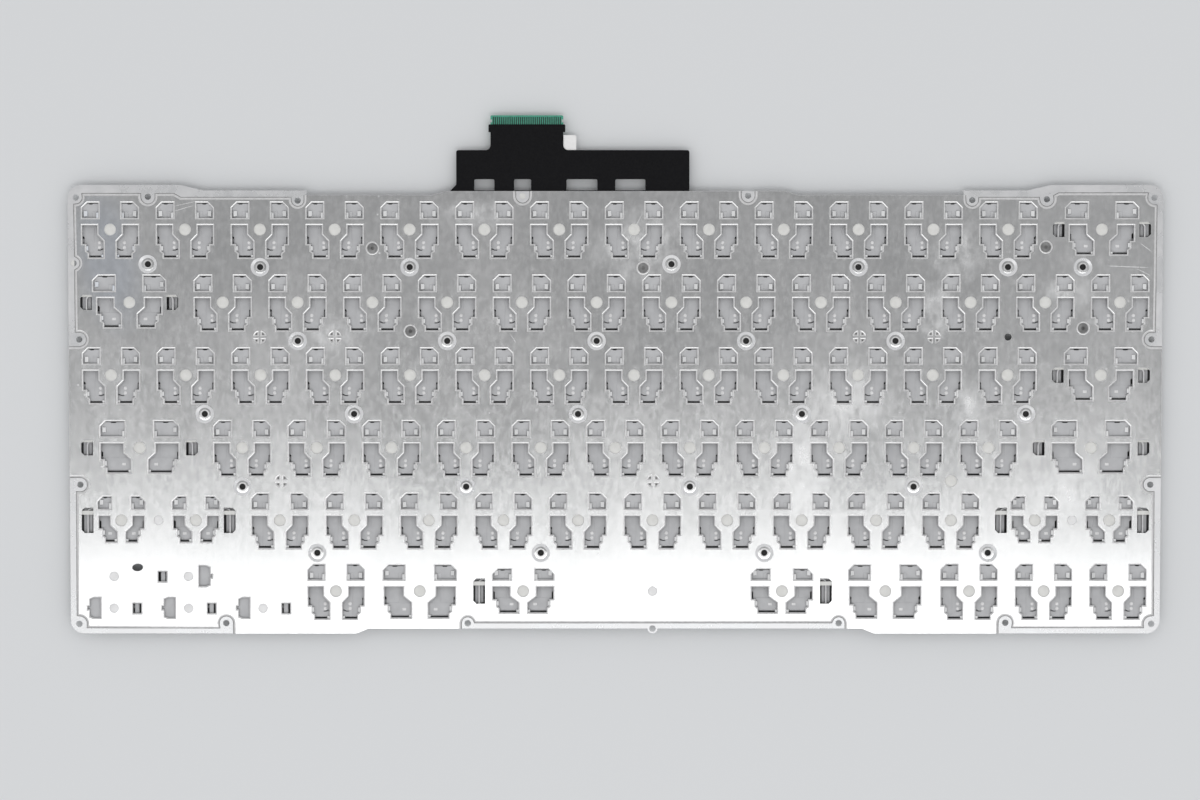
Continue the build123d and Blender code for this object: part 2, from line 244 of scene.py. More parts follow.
# The raised field stops at the border's step line; each stretch is followed clockwise
upper_left = [(-139.0, 6.7), *bay(-136.3, 9.125, 2.4, -90, 100), *bay(-137.6, 28.5, 2.2, -68, 68)]
upper_left += bay(-136.9, 45.15, 2.2, -90, 12) + bay(-118.63, 45.33, 2.4, 174, 366)
upper_left += [(-112.2, 45.6), (-110.4, 44.6), *bay(-80.63, 44.5, 2.2, 177, 360), (-78.43, 45.775)]
left_pad = [(-25.88, 46.775), *bay(-23.55, 45.47, 2.33, 180, 360), (-21.22, 46.775)]
right_pad = [(31.35, 46.775), *bay(33.68, 45.6, 2.33, 180, 360), (36.01, 46.775)]
upper_right = [(88.36, 45.775), *bay(90.56, 44.5, 2.2, 180, 363), *bay(109.51, 44.69, 2.4, 182, 375)]
upper_right += [(112.6, 45.75), *bay(136.9, 45.15, 2.4, 165, 270), *bay(136.3, 9.125, 2.4, 80, 270)]
upper_right += [(139.0, 6.7)]
lower_right = [(139.0, -25.5), *bay(136.3, -27.875, 2.4, 90, 280), *bay(136.8, -63.475, 2.6, 90, 190)]
lower_right += [*bay(99.56, -63.2, 2.4, -17, 180), (97.16, -65.975)]
lower_middle = [(59.22, -64.725), *bay(57.02, -63.31, 2.2, 0, 163), *bay(-37.66, -63.32, 2.2, 17, 180)]
lower_middle += [(-39.86, -64.725)]
lower_left = [(-96.89, -65.975), *bay(-99.29, -63.3, 2.4, 0, 197), *bay(-136.8, -63.475, 2.6, -10, 90)]
lower_left += [*bay(-136.3, -27.875, 2.4, -100, 90), (-139.0, -25.5)]
field = upper_left + [(-46.2, 45.775), (-43.0, 46.775)] + left_pad + right_pad
field += [(43.0, 46.775), (46.2, 45.775)] + upper_right + lower_right + [(66.1, -65.975), (62.9, -64.725)]
field += lower_middle + [(-62.9, -64.725), (-66.1, -65.975)] + lower_left
plate = flat_piece("plate_field", [field] + plate_loops, plate_low, plate_high - 0.01, 0.04)

rim_high = plate_high - 0.24
screw_radius = 0.78
corner_tl = [(-78.3, 46.925), (-104.5, 46.925), (-110.5, 48.325), *bay(-135.6, 44.925, 3.4, 90, 180)]
corner_tr = [*bay(135.6, 44.925, 3.4, 0, 90), (110.5, 48.325), (104.5, 46.925), (88.3, 46.925)]
rims = [
    (
        upper_left,
        corner_tl,
        [(-136.9, 45.15), (-118.63, 45.33), (-80.63, 44.37), (-137.6, 28.5), (-136.3, 9.125)],
    ),
    (left_pad, [], [(-23.55, 45.47)]),
    (right_pad, [], [(33.68, 45.6)]),
    (upper_right, corner_tr, [(90.56, 44.5), (109.51, 44.69), (136.8, 45.125), (136.3, 9.125)]),
    (lower_right, bay(135.6, -62.575, 3.4, -90, 0), [(99.56, -63.2), (136.8, -63.475), (136.3, -27.875)]),
    (lower_middle, bay(9.5, -64.575, 1.35, 186, 354), [(57.02, -63.31), (-37.66, -63.32), (9.5, -64.7)]),
    (
        lower_left,
        bay(-135.6, -62.575, 3.4, 180, 270),
        [(-99.29, -63.3), (-136.8, -63.475), (-136.3, -27.875)],
    ),
]
step_section = [(-0.1, -0.02), (0.0, -0.02), (0.15, -0.06), (0.5, -0.2), (0.55, -0.3)]
step_profile = line_curve("step_profile", [step_section], closed=False)
# Painted shade: a thin dark strip lies at the foot of each border step and stands in for the shade in the
# crease.
crease_profile = line_curve("crease_profile", [[(0.5, -0.232), (0.68, -0.232)]], closed=False)
borders, edges, creases = [], [], []
for line, outside, holes in rims:
    loops = [line + outside] + [round_hole(x, y, screw_radius) for x, y in holes]
    borders.append(flat_piece("border", loops, plate_low, rim_high, 0.05))
    for profile, group in ((step_profile, edges), (crease_profile, creases)):
        step = line_curve("border_step", [[(x * 0.9999, y) for x, y in reversed(line)]], closed=False)
        step.data.bevel_mode = "OBJECT"
        step.data.bevel_object = profile
        step.location.z = plate_high
        select_only(step)
        bpy.ops.object.convert(target="MESH")
        bpy.ops.object.transform_apply(location=True, rotation=True, scale=True)
        group.append(step)
bpy.data.objects.remove(step_profile)
bpy.data.objects.remove(crease_profile)

# The punch leaves a bright rolled rim round every cut-out and slot
rim_loops = []
for loop in rolled_loops:
    turn = sum(a[0] * b[1] - b[0] * a[1] for a, b in zip(loop, loop[1:] + loop[:1]))
    rim_loops.append(loop if turn > 0 else loop[::-1])
rim_section = [(-0.06, -0.004), (0.12, -0.04), (0.28, -0.13), (0.36, -0.26), (0.36, -0.39), (-0.06, -0.39)]
rim_profile = line_curve("rim_profile", [rim_section])
rim_profile.data.fill_mode = "NONE"
rolled_rims = line_curve("rolled_rims", rim_loops)
rolled_rims.data.fill_mode = "NONE"
rolled_rims.data.bevel_mode = "OBJECT"
rolled_rims.data.bevel_object = rim_profile
rolled_rims.location.z = plate_high
merge_mesh(rolled_rims)
bpy.ops.object.transform_apply(location=True, rotation=True, scale=True)
bpy.data.objects.remove(rim_profile)
edges.append(rolled_rims)


def spun_piece(name, profile, steps):
    """A turned form: its half section is spun round an upright axis."""
    mesh = bpy.data.meshes.new(name)
    edges = [(place, place + 1) for place in range(len(profile) - 1)]
    mesh.from_pydata([(radius, 0.0, level) for radius, level in profile], edges, [])
    piece = bpy.data.objects.new(name, mesh)
    bpy.context.collection.objects.link(piece)
    select_only(piece)
    bpy.ops.object.mode_set(mode="EDIT")
    bpy.ops.mesh.select_all(action="SELECT")
    bpy.ops.mesh.spin(steps=steps, angle=radians(360), center=(0, 0, 0), axis=(0, 0, 1))
    bpy.ops.mesh.select_all(action="SELECT")
    bpy.ops.mesh.remove_doubles(threshold=0.0005)
    bpy.ops.mesh.normals_make_consistent(inside=False)
    bpy.ops.object.mode_set(mode="OBJECT")
    bpy.ops.object.shade_smooth_by_angle(angle=radians(30))
    return piece


def copy_at(model, name, x, y):
    """A copy of a modelled piece with a mesh of its own, set down at its place."""
    piece = model.copy()
    piece.data = model.data.copy()
    piece.name = name
    bpy.context.collection.objects.link(piece)
    piece.location = (x, y, 0)
    select_only(piece)
    bpy.ops.object.transform_apply(location=True, rotation=True, scale=True)
    return piece


boss_section = [(2.37, 3.0), (2.37, 3.2), (2.25, 3.24), (1.62, 3.02), (1.62, 2.7), (2.37, 3.0)]
boss = spun_piece("boss", boss_section, 24)
boss_floor = spun_piece("boss_floor", [(1.7, 2.9), (1.5, 2.93), (1.0, 2.93)], 24)
lip_section = [(1.2, 2.85), (1.1, 2.98), (0.9, 2.98), (0.78, 2.88), (0.78, 2.6)]
boss_lip = spun_piece("boss_lip", lip_section, 24)
pin_section = [(1.72, 3.0), (1.72, 3.2), (1.6, 3.24), (1.42, 3.22), (1.3, 3.1), (1.3, 2.7), (1.72, 3.0)]
pin_boss = spun_piece("pin_boss", pin_section, 20)
dish_section = [(1.33, 3.08), (0.55, 2.9), (0.42, 2.8), (0.42, 2.4), (0, 2.4)]
pin_dish = spun_piece("pin_dish", dish_section, 16)
# Painted shade: a near-black cup closes each boss hole and stands in for the shade deep inside it.
boss_shade_cup = spun_piece("boss_shade_cup", [(0.8, 2.86), (0.8, 2.4), (0, 2.4)], 16)
boss_shade_cups = [copy_at(boss_shade_cup, "boss_shade_cup", x, y) for x, y in bosses]
# The dishes of the pin bosses get the same dark colour as painted shade in their hollows.
creases += [copy_at(pin_dish, "pin_dish", x, y) for x, y in pin_bosses]
borders += [copy_at(boss, "boss", x, y) for x, y in bosses]
edges += [copy_at(boss_lip, "boss_lip", x, y) for x, y in bosses]
boss_floors = [copy_at(boss_floor, "boss_floor", x, y) for x, y in bosses]
edges += [copy_at(pin_boss, "pin_boss", x, y) for x, y in pin_bosses]
for model in (boss, boss_floor, boss_lip, pin_boss, pin_dish, boss_shade_cup):
    bpy.data.objects.remove(model)


def block(name, low, high, soft):
    """A small block between two corners with soft edges."""
    middle = [(a + b) / 2 for a, b in zip(low, high)]
    bpy.ops.object.select_all(action="DESELECT")
    bpy.ops.mesh.primitive_cube_add(size=1, location=middle)
    piece = bpy.context.object
    piece.name = name
    piece.scale = [b - a for a, b in zip(low, high)]
    bpy.ops.object.transform_apply(location=True, rotation=True, scale=True)
    bpy.ops.object.mode_set(mode="EDIT")
    bpy.ops.mesh.select_all(action="SELECT")
    bpy.ops.mesh.bevel(offset=soft, segments=1, affect="EDGES")
    bpy.ops.object.mode_set(mode="OBJECT")
    return piece


# Hooks bent down from the edges of the cut-outs hold the links
hook_sets = {}
for width, (outer, inner, foot, high, low, lower_outer) in seat_sizes.items():
    hooks = []
    for side in (-1, 1):
        for start, end, near, far in (
            (outer - 1.65, outer - 0.65, 3.3 + (width > 1) * 0.6, 4.8 + (width > 1) * 0.5),
            (inner + 0.2, inner + 0.9, 2.9, 4.4),
            (lower_outer - 1.8, lower_outer - 1.2, low + 2.0, low + 3.3),
            (foot + 0.2, foot + 0.9, low + 0.4, low + 1.1),
        ):
            across = sorted((side * start, side * end))
            hook = block("hook", (across[0], near, 2.75), (across[1], far, 3.05), 0.1)
            middle = (sum(across) / 2, (near + far) / 2, 2.9)
            bpy.ops.transform.rotate(value=side * 0.4, orient_axis="Y", center_override=middle)
            bpy.ops.object.transform_apply(location=True, rotation=True, scale=True)
            hooks.append(hook)
    hook_sets[width] = one_piece("hooks", *hooks)
hooks = [copy_at(hook_sets[width], "hooks", x, y) for name, x, y, width in seats]
for model in hook_sets.values():
    bpy.data.objects.remove(model)
plate = one_piece("plate", plate, *boss_floors, *hooks)
border = one_piece("border", *borders)
edges = one_piece("edges", *edges)
boss_shade_cups = one_piece("boss_shade_cups", *boss_shade_cups)
creases = one_piece("creases", *creases)
for piece in (plate, border, edges, boss_shade_cups, creases):
    to_metres(piece)


def finish_material(name, colour, roughness, metallic=0.0):
    """A new material with its plain values set on the shader."""
    material = bpy.data.materials.new(name)
    material.use_nodes = True
    shader = material.node_tree.nodes["Principled BSDF"]
    shader.inputs["Base Color"].default_value = (*colour, 1)
    shader.inputs["Roughness"].default_value = roughness
    shader.inputs["Metallic"].default_value = metallic
    return material, shader


def add_node(material, kind, values=(), **settings):
    """One node of a material; an input's value may be the output of an earlier node."""
    node = material.node_tree.nodes.new(kind)
    for name, value in settings.items():
        setattr(node, name, value)
    for place, value in dict(values).items():
        if isinstance(value, bpy.types.NodeSocket):
            material.node_tree.links.new(value, node.inputs[place])
        else:
            node.inputs[place].default_value = value
    return node


def object_place(material, scale, turn=0.0, centre=(0, 0, 0), kind="POINT"):
    """Object coordinates, stretched or centred for a pattern."""
    place = add_node(material, "ShaderNodeTexCoord").outputs["Object"]
    values = {"Vector": place, "Scale": scale, "Rotation": (0, 0, turn), "Location": centre}
    return add_node(material, "ShaderNodeMapping", values, vector_type=kind).outputs["Vector"]


def ramp(material, value, *stops):
    """A colour ramp over a value, with its stops as (place, grey or colour)."""
    node = add_node(material, "ShaderNodeValToRGB", {"Fac": value})
    while len(node.color_ramp.elements) < len(stops):
        node.color_ramp.elements.new(0.5)
    for element, (place, tone) in zip(node.color_ramp.elements, stops):
        element.position = place
        element.color = (*tone, 1) if isinstance(tone, tuple) else (tone, tone, tone, 1)
    return node.outputs["Color"]


def noise(material, vector, scale, detail=3.0, roughness=0.5):
    values = {"Vector": vector, "Scale": scale, "Detail": detail, "Roughness": roughness}
    return add_node(material, "ShaderNodeTexNoise", values).outputs["Fac"]


def mix_colour(material, share, first, second):
    values = {"Factor": share, 6: first, 7: second}
    return add_node(material, "ShaderNodeMix", values, data_type="RGBA").outputs[2]


def combine(material, first, second, operation):
    return add_node(material, "ShaderNodeMath", {0: first, 1: second}, operation=operation).outputs[0]


def tint(material, shader, pattern, low, high, socket="Base Color"):
    """Lets a pattern drive a socket of the shader between two tones."""
    tones = ramp(material, pattern, (0.3, low), (0.7, high))
    material.node_tree.links.new(tones, shader.inputs[socket])


def spot_marks(material, spots):
    """Soft oval spots, each with its middle, half lengths and turn; the strongest one shows."""
    marks = None
    for x, y, long, wide, turn in spots:
        values = {"Vector": object_place(material, (long, wide, 0.02), turn, (x, y, 0.003), "TEXTURE")}
        spot = add_node(material, "ShaderNodeTexGradient", values, gradient_type="SPHERICAL")
        mark = spot.outputs["Fac"]
        marks = mark if marks is None else combine(material, marks, mark, "MAXIMUM")
    return marks


def dress(piece, material):
    """Gives a piece its one material."""
    piece.data.materials.clear()
    piece.data.materials.append(material)


def set_bump(material, shader, height, strength, depth):
    values = {"Height": height, "Strength": strength, "Distance": depth}
    bump = add_node(material, "ShaderNodeBump", values)
    material.node_tree.links.new(bump.outputs["Normal"], shader.inputs["Normal"])


aluminium, metal = finish_material("satin_aluminium", (0.72, 0.73, 0.735), 0.3, 1.0)
grain = noise(aluminium, object_place(aluminium, (3200, 90, 90)), 1.0, 2.0)
cloud = noise(aluminium, object_place(aluminium, (28, 22, 22)), 1.0, 4.0)
speck = noise(aluminium, object_place(aluminium, (900, 500, 500)), 1.0, 5.0, 0.7)
# Oxide smudges and hand marks, then scratches, where handling left them
smudge_spots = (
    (0.006, 0.033, 0.016, 0.011, 0.5),
    (0.060, -0.006, 0.013, 0.010, 0.2),
    (0.087, 0.031, 0.011, 0.008, 0.9),
    (-0.072, 0.010, 0.008, 0.006, 0.0),
    (0.047, -0.024, 0.009, 0.014, 0.1),
    (-0.036, 0.041, 0.014, 0.004, 0.0),
    (0.115, -0.029, 0.012, 0.008, 0.4),
    (0.0884, -0.0083, 0.007, 0.010, 0.3),
    (0.0812, 0.0169, 0.006, 0.009, 0.0),
    (0.1147, 0.0209, 0.008, 0.005, 0.2),
)
smudges = spot_marks(aluminium, smudge_spots)
patch = noise(aluminium, object_place(aluminium, (300, 200, 200)), 1.0, 6.0, 0.65)
patch = ramp(aluminium, patch, (0.35, 0.0), (0.75, 1.0))
smudges = combine(aluminium, ramp(aluminium, smudges, (0.0, 0.0), (0.7, 1.0)), patch, "MULTIPLY")
scratch_spots = (
    (-0.1095, 0.0424, 0.0030, 0.00010, 0.28),
    (-0.1090, 0.0436, 0.0034, 0.00008, 0.22),
    (0.1300, 0.0276, 0.0064, 0.00012, -0.04),
    (0.1342, 0.0262, 0.0023, 0.00010, -0.47),
    (0.1347, 0.0325, 0.0019, 0.00012, -0.64),
    (0.0050, 0.0375, 0.0050, 0.00008, 1.1),
    (-0.0260, 0.0094, 0.0016, 0.00008, -0.98),
)
scratches = spot_marks(aluminium, scratch_spots)
worn = combine(aluminium, smudges, ramp(aluminium, scratches, (0.0, 0.0), (0.3, 1.0)), "MAXIMUM")
fleck_values = {"Vector": object_place(aluminium, (260, 260, 260)), "Scale": 1.0}
flecks = add_node(aluminium, "ShaderNodeTexVoronoi", fleck_values).outputs["Distance"]
sparse = noise(aluminium, object_place(aluminium, (70, 70, 70)), 1.0, 3.0)
sparse = ramp(aluminium, sparse, (0.48, 0.0), (0.6, 0.8))
flecks = combine(aluminium, ramp(aluminium, flecks, (0.03, 1.0), (0.09, 0.0)), sparse, "MULTIPLY")
worn = combine(aluminium, worn, flecks, "MAXIMUM")
smear = spot_marks(aluminium, [(-0.129, 0.030, 0.010, 0.022, 0.2)])
tone = ramp(aluminium, cloud, (0.3, (0.68, 0.69, 0.69)), (0.7, (0.75, 0.755, 0.755)))
tone = mix_colour(aluminium, ramp(aluminium, grain, (0.3, 0.0), (0.7, 0.10)), tone, (0.9, 0.9, 0.9, 1))
tone = mix_colour(aluminium, ramp(aluminium, speck, (0.35, 0.0), (0.7, 0.22)), tone, (0.9, 0.9, 0.9, 1))
tone = mix_colour(aluminium, ramp(aluminium, smear, (0.0, 0.0), (0.6, 0.7)), tone, (0.66, 0.70, 0.76, 1))
tone = mix_colour(aluminium, ramp(aluminium, worn, (0.0, 0.0), (1.0, 0.5)), tone, (0.90, 0.905, 0.91, 1))
gloss = ramp(aluminium, cloud, (0.3, 0.14), (0.7, 0.18))
gloss = combine(aluminium, gloss, ramp(aluminium, worn, (0.0, 0.0), (1.0, 0.1)), "ADD")
gloss = combine(aluminium, gloss, ramp(aluminium, speck, (0.4, 0.0), (0.7, 0.06)), "ADD")
aluminium.node_tree.links.new(tone, metal.inputs["Base Color"])
aluminium.node_tree.links.new(gloss, metal.inputs["Roughness"])
aluminium.node_tree.links.new(ramp(aluminium, worn, (0.0, 1.0), (1.0, 0.6)), metal.inputs["Metallic"])
set_bump(aluminium, metal, speck, 0.08, 0.00003)
rolled, rolled_shader = finish_material("rolled_edge", (0.80, 0.80, 0.80), 0.42, 1.0)
burr = noise(rolled, object_place(rolled, (1500, 1500, 1500)), 1.0, 3.0)
tint(rolled, rolled_shader, burr, 0.64, 0.76)
tint(rolled, rolled_shader, burr, 0.30, 0.38, "Roughness")
rubbed, rubbed_shader = finish_material("rubbed_border", (0.78, 0.785, 0.79), 0.3, 0.55)
rub = noise(rubbed, object_place(rubbed, (120, 120, 120)), 1.0, 5.0, 0.65)
tint(rubbed, rubbed_shader, rub, (0.65, 0.66, 0.67), (0.75, 0.75, 0.755))
tint(rubbed, rubbed_shader, rub, 0.22, 0.36, "Roughness")
# Painted shade: near-black colour for the cups in the boss holes, where the holes lie in shade.
shadow, shadow_shader = finish_material("painted_shade_in_boss_holes", (0.012, 0.012, 0.013), 0.7)
shade_noise = noise(shadow, object_place(shadow, (2000, 2000, 2000)), 1.0, 2.0)
tint(shadow, shadow_shader, shade_noise, 0.008, 0.016)
# Painted shade: dark grey for the crease strips and the pin dishes.
crease_shade, crease_shade_shader = finish_material("painted_crease_shade", (0.20, 0.20, 0.20), 0.6)
crease_shade_noise = noise(crease_shade, object_place(crease_shade, (500, 500, 500)), 1.0, 4.0)
tint(crease_shade, crease_shade_shader, crease_shade_noise, 0.13, 0.30)
dress(plate, aluminium)
dress(border, rubbed)
dress(edges, rolled)
dress(boss_shade_cups, shadow)
dress(creases, crease_shade)
plate = one_piece("plate", plate, border, edges, boss_shade_cups, creases)
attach(plate, "frame")
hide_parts("base_plate")

# Switch membrane: a milky film glued under the plate, cut to a ladder of strips behind its bars.
# It bulges into the round holes of the plate as pale dots, and tongues lead to the tail.
film_low, film_high = (corner[2] * 1000 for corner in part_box("switch_membrane"))
film_edge = [(-138.4, -53.675), (-106.9, -53.675), (-106.9, -52.625), (-137.4, -52.625)]
film_edge += [(-137.4, -35.575), (137.4, -35.575), (137.4, -52.625), (-101.5, -52.625)]
film_edge += [(-101.5, -53.675), (138.4, -53.675), (138.4, 39.475), (16.05, 39.475), (16.05, 44.325)]
film_edge += [(17.25, 44.325), (17.25, 46.4), (-26.75, 46.4), (-26.75, 44.325), (-25.55, 44.325)]
film_edge += [(-25.55, 39.475), (-138.4, 39.475)]


def window(left, right, low, high):
    return [(left, low), (right, low), (right, high), (left, high)]


windows = [window(-137.4, 137.4, below + 2.45, above + 1.4) for above, below in zip(row_y, row_y[1:5])]
windows += [window(-21.95, -6.55, 39.475, 44.325), window(-2.95, 12.45, 39.475, 44.325)]
film = flat_piece("film", [film_edge] + windows, film_low, film_high, 0.04)
dot_section = [(0, 3.17), (0.9, 3.165), (1.3, 3.14), (1.5, 3.06), (1.5, 2.84), (1.65, 2.84)]
dot_section += [(1.65, 2.6), (0, 2.6)]
dot = spun_piece("dot", dot_section, 20)
film_dots = [copy_at(dot, "dot", x, y) for x, y in dots]
bpy.data.objects.remove(dot)
small_section = [(0, 3.2), (0.85, 3.195), (1.1, 3.17), (1.2, 3.08), (1.2, 2.84), (1.45, 2.84)]
small_section += [(1.45, 2.6), (0, 2.6)]
small_dot = spun_piece("small_dot", small_section, 20)
plain_dots = [copy_at(small_dot, "small_dot", x, y) for x, y in small_dots]
bpy.data.objects.remove(small_dot)
stake_section = [(0, 2.55), (1.45, 2.55), (1.7, 2.84), (1.9, 2.84), (1.9, 2.7), (1.6, 2.42), (0, 2.42)]
stake = spun_piece("stake", stake_section, 20)
film_dots += [copy_at(stake, "stake", x, y) for x, y in cross_holes]
bpy.data.objects.remove(stake)
membrane = one_piece("membrane", film, *film_dots)
plain_dots = one_piece("plain_dots", *plain_dots)
to_metres(membrane)
to_metres(plain_dots)
milky, milky_shader = finish_material("milky_film", (0.73, 0.73, 0.705), 0.38)
mottle = noise(milky, object_place(milky, (700, 700, 700)), 1.0, 4.0)
tint(milky, milky_shader, mottle, (0.69, 0.69, 0.665), (0.77, 0.77, 0.745))
set_bump(milky, milky_shader, mottle, 0.15, 0.00005)
# Painted light: the small dots are the same film as the large ones, made whiter because the plate around them
# catches more light.
painted_light_film, painted_light_film_shader = finish_material("painted_light_film", (0.84, 0.84, 0.83), 0.3)
haze = noise(painted_light_film, object_place(painted_light_film, (600, 600, 600)), 1.0, 4.0)
tint(painted_light_film, painted_light_film_shader, haze, 0.78, 0.87)
dress(membrane, milky)
dress(plain_dots, painted_light_film)
membrane = one_piece("membrane", membrane, plain_dots)
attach(membrane, "frame")
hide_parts("switch_membrane")

# Scissors: two moulded frames that cross on each other behind every key, with a rubber dome between
# them. The wide frame shows through the cut-outs and is clipped under the plate's hooks.
pale_plastic, pale_shader = finish_material("pale_moulded_plastic", (0.49, 0.495, 0.505), 0.42)
moulding = noise(pale_plastic, object_place(pale_plastic, (420, 420, 420)), 1.0, 3.0)
tint(pale_plastic, pale_shader, moulding, (0.475, 0.48, 0.49), (0.535, 0.54, 0.55))
set_bump(pale_plastic, pale_shader, moulding, 0.1, 0.00004)
white_plastic, white_plastic_shader = finish_material("white_moulded_plastic", (0.80, 0.80, 0.80), 0.35)
gloss_marks = noise(white_plastic, object_place(white_plastic, (900, 900, 900)), 1.0, 3.0)
tint(white_plastic, white_plastic_shader, gloss_marks, 0.74, 0.84)
wide_lean, slim_lean = radians(5), radians(7)


def scissor_model(width):
    """The crossed frames and the dome of one scissor, about its own middle."""
    outer, inner, foot, high, low, lower_outer = seat_sizes[width]
    wave = inner + 0.35 * (outer - inner), inner + 0.55 * (outer - inner)
    half = [(inner, high - 0.1), (inner, 4.0), (inner + 1.0, 2.4), (lower_outer - 0.05, 2.4)]
    half += [(lower_outer - 0.05, low + 5.9), (lower_outer - 0.7, low + 5.4), (lower_outer - 0.7, low + 3.6)]
    half += [(lower_outer - 0.95, low + 3.3), (lower_outer - 0.95, low + 0.75)]
    opening = min(inner - 0.35, 2.3)
    hole = [(opening - 0.8, 3.1), (opening, 2.3), (opening, -2.2), (opening - 0.8, -3.0)]
    slit = [(-0.3, 2.8), (0.7, 2.5), (1.2, 2.25), (1.8, 2.25)]
    slit += [(1.8, 2.05), (1.1, 2.05), (0.6, 2.25), (-0.3, 2.55)]
    slit = [(foot + dx, low + dy) for dx, dy in slit]
    loops = [half + [(-x, y) for x, y in reversed(half)], hole + [(-x, y) for x, y in reversed(hole)]]
    wide_frame = flat_piece("wide_frame", loops + both_halves(0, 0, slit), -0.3, 0.3, 0.07)
    studs, ribs = [], []
    for side in (-1, 1):
        if width == 1:
            for rise in (4.05, 2.83):
                stud = spun_piece("stud", [(0, 0.6), (0.25, 0.56), (0.45, 0.4), (0.5, 0.1)], 10)
                studs.append(copy_at(stud, "stud", 0.35 + side * (foot + 1.75), low + rise))
                bpy.data.objects.remove(stud)
        else:
            across = sorted((side * (foot + 1.6), side * (foot + 2.6)))
            studs.append(block("stud", (across[0], low + 2.0, 0.2), (across[1], low + 2.7, 0.5), 0.1))
        across = sorted((side * (inner + 1.5), side * (inner + 1.8)))
        ribs.append(block("rib", (across[0], low + 1.2, 0.2), (across[1], 1.2, 0.36), 0.05))
        if width > 1:
            across = sorted((side * (foot + 0.3), side * (lower_outer - 1.2)))
            ribs.append(block("rib", (across[0], low + 1.0, 0.2), (across[1], low + 4.0, 0.38), 0.06))
    wide_frame = one_piece("wide_frame", wide_frame, *ribs)
    wide_frame.data.materials.append(pale_plastic)
    for stud in studs:
        stud.data.materials.append(white_plastic)
    wide_frame = one_piece("wide_frame", wide_frame, *studs)
    wide_frame.rotation_euler.x = -wide_lean
    wide_frame.location.z = 1.72
    bar = lower_outer - 0.15
    ring = [(bar - 0.8, low + 0.4), (bar, low + 1.2), (bar, -2.3), (opening - 0.2, -2.3)]
    ring += [(opening - 0.2, 2.8), (outer - 0.2, 2.8), (outer - 0.2, high - 1.5), (outer - 1.4, high - 0.4)]
    ring += [(wave[1] + 0.25, high - 0.42), (wave[1], high - 0.62)]
    ring += [(wave[0] + 0.25, high - 0.62), (wave[0], high - 0.42)]
    ring += [(-x, y) for x, y in reversed(ring)]
    slim_frame = flat_piece("slim_frame", [ring, round_hole(0, 0, opening - 0.65)], -0.3, 0.3, 0.07)
    steps = []
    for side in (-1, 1):
        across = sorted((side * (inner + 0.9), side * (inner + 1.9)))
        steps.append(block("step", (across[0], 2.85, 0.2), (across[1], 4.7, 0.42), 0.08))
    slim_frame = one_piece("slim_frame", slim_frame, *steps)
    slim_frame.rotation_euler.x = slim_lean
    slim_frame.location.z = 1.73
    for part in (wide_frame, slim_frame):
        select_only(part)
        bpy.ops.object.transform_apply(location=True, rotation=True, scale=True)
    dome_radius = opening - 0.8
    section = [(dome_radius, 2.58), (dome_radius - 0.05, 2.2), (0.85, 1.2), (0.75, 0.62), (0, 0.62)]
    dome = spun_piece("dome", section, 12)
    for part in (slim_frame, dome):
        part.data.materials.append(pale_plastic)
    return one_piece("scissor", wide_frame, slim_frame, dome)


models = {width: scissor_model(width) for width in seat_sizes}
still_scissors = []
scissors = []
for name, x, y, width in keys:
    pieces = [copy_at(models[width], "scissor", x + shift, y) for shift in seat_spread.get(width, (0.0,))]
    if width in bar_reach:
        tall = 3.2 if width > 2 else 1.9
        for middle in (x - bar_reach[width], x + bar_reach[width]):
            near, far = (middle - 1.1, y - tall, 0.65), (middle + 1.1, y + tall, 1.75)
            pieces.append(block("wire_clip", near, far, 0.15))
            pieces[-1].data.materials.append(pale_plastic)
    if name:
        scissors.append(one_piece(name + "_scissor", *pieces))
    else:
        still_scissors += pieces
scissors.insert(0, one_piece("still_scissors", *still_scissors))
for model in models.values():
    bpy.data.objects.remove(model)
for name, x, y in arrow_keys:
    side = -1 if name == "up_arrow" else 1
    spans = [sorted((x + side * start, x + side * end)) for start, end in ((-6.6, -2.9), (5.55, 6.75))]
    parts = [block("arm", (spans[0][0], y - 2.9, 1.9), (spans[0][1], y + 2.5, 2.55), 0.15)]
    parts.append(block("arm", (spans[1][0], y - 1.8, 1.7), (spans[1][1], y + 1.1, 2.5), 0.15))
    parts.append(block("axle", (x - 6.0, y - 0.35, 0.7), (x + 6.0, y + 0.35, 1.6), 0.15))
    scissors.append(one_piece(name + "_scissor", *parts))
for scissor in scissors:
    to_metres(scissor)
    if not scissor.data.materials:
        scissor.data.materials.append(pale_plastic)
    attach(scissor, "frame")
    if scissor.name != "still_scissors":
        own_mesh(scissor)
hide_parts("scissor_links")

# Stabiliser bars: bent steel wires that keep the wide keys level. Their hooked ends turn in the
# slots of the plate.
bars = []
for name, x, y, width in keys:
    if width in bar_reach:
        reach, tall = bar_reach[width], 3.2 if width > 2 else 1.9
        half = [(0.0, -6.7), *bay(reach - 1.0, -5.7, 1.0, -90, 0), *bay(reach - 1.1, tall - 1.3, 1.1, 0, 130)]
        path = [(x + dx, y + dy) for dx, dy in half]
        path = [(x - dx, y + dy) for dx, dy in reversed(half[1:])] + path
        bar = line_curve("bar", [path], closed=False)
        bar.data.dimensions = "3D"
        bar.data.bevel_depth = 0.28
        bar.data.bevel_resolution = 2
        bar.data.use_fill_caps = True
        bar.location.z = 2.3
        merge_mesh(bar)
        bpy.ops.object.transform_apply(location=True, rotation=True, scale=True)
        bars.append(bar)
wires = one_piece("wires", *bars)
bpy.ops.object.shade_smooth_by_angle(angle=radians(40))
to_metres(wires)
steel, steel_shader = finish_material("bright_steel_wire", (0.62, 0.62, 0.63), 0.28, 1.0)
drawn = noise(steel, object_place(steel, (900, 900, 900)), 1.0, 3.0)
tint(steel, steel_shader, drawn, (0.55, 0.55, 0.56), (0.68, 0.68, 0.68))
dress(wires, steel)
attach(wires, "frame")
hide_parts("stabiliser_bars")

# Key caps: thin black mouldings with round corners and a soft top edge. They are hollow behind and
# lie face down; the keys of the two upper rows stay still with the plate.


